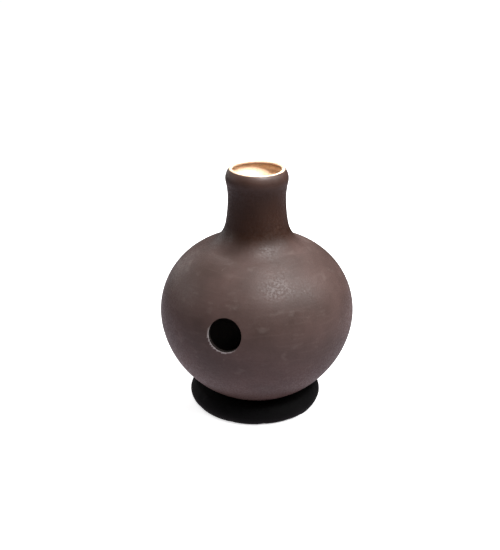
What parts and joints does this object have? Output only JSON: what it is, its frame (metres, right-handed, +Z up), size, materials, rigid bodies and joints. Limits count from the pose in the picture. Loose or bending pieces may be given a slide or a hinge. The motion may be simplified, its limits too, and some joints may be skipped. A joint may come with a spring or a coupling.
{
  "type": "udu drum",
  "caption": "Round-bellied clay pot drum with a waisted neck, swollen lip and round side hole, resting loose in a soft black ring that keeps it upright while it is played by hand.",
  "frame": {"origin": "on the floor, under the middle of the ring and the pot", "axes": "+Z up along the pot's axis; -Y out of the side hole; +X to the right of someone looking into the side hole"},
  "size_m": [0.3, 0.2999, 0.382],
  "materials": {
    "clay": "matte",
    "ring_cloth": "matte",
    "ring_filling": "matte"
  },
  "bodies": {
    "ring": {"ring_cover": "ring_cloth", "ring_core": "ring_filling"},
    "pot": {"lower_bowl": "clay", "upper_bowl": "clay", "neck": "clay", "neck_coil": "clay"}
  },
  "joints": [
    {"name": "pot_lift", "type": "slide", "parent": "ring", "child": "pot", "axis": [0, 0, 1], "range_m": [0, 0.08]}
  ]
}
